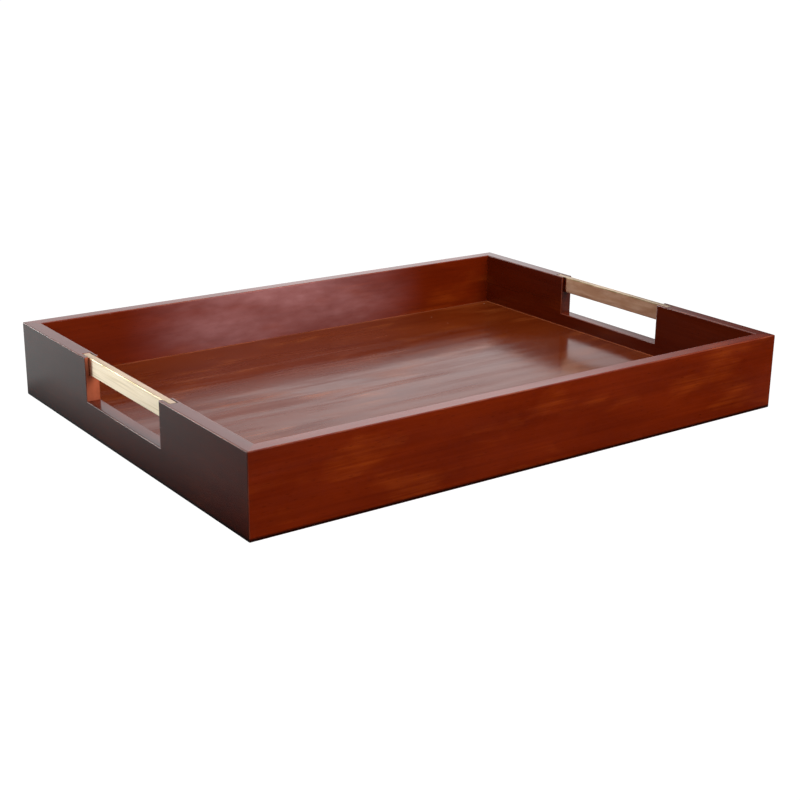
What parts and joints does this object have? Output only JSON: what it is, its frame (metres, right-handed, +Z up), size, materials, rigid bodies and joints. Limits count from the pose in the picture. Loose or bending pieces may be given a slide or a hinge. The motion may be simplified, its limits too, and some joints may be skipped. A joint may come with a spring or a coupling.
{
  "type": "serving tray",
  "caption": "Rectangular lacquered wooden serving tray with mitred walls, a flat recessed floor and brass bar handles over hand notches in both end walls.",
  "frame": {"origin": "centre of the tray's footprint, on the surface that it stands on", "axes": "+X along the tray's length, from one handle to the other; +Y across its width; +Z up"},
  "size_m": [0.508, 0.381, 0.064],
  "materials": {
    "lacquered_wood": "gloss lacquer",
    "plywood": "raw",
    "brushed_brass": "brushed"
  },
  "bodies": {
    "root": {"front_board": "lacquered_wood", "back_board": "lacquered_wood", "left_end_board": "lacquered_wood", "right_end_board": "lacquered_wood", "base_panel": "lacquered_wood", "front_left_spline": "plywood", "front_right_spline": "plywood", "back_left_spline": "plywood", "back_right_spline": "plywood", "left_handle_bar": "brushed_brass", "right_handle_bar": "brushed_brass", "left_handle_front_stud": "brushed_brass", "left_handle_back_stud": "brushed_brass", "right_handle_front_stud": "brushed_brass", "right_handle_back_stud": "brushed_brass"}
  },
  "joints": []
}
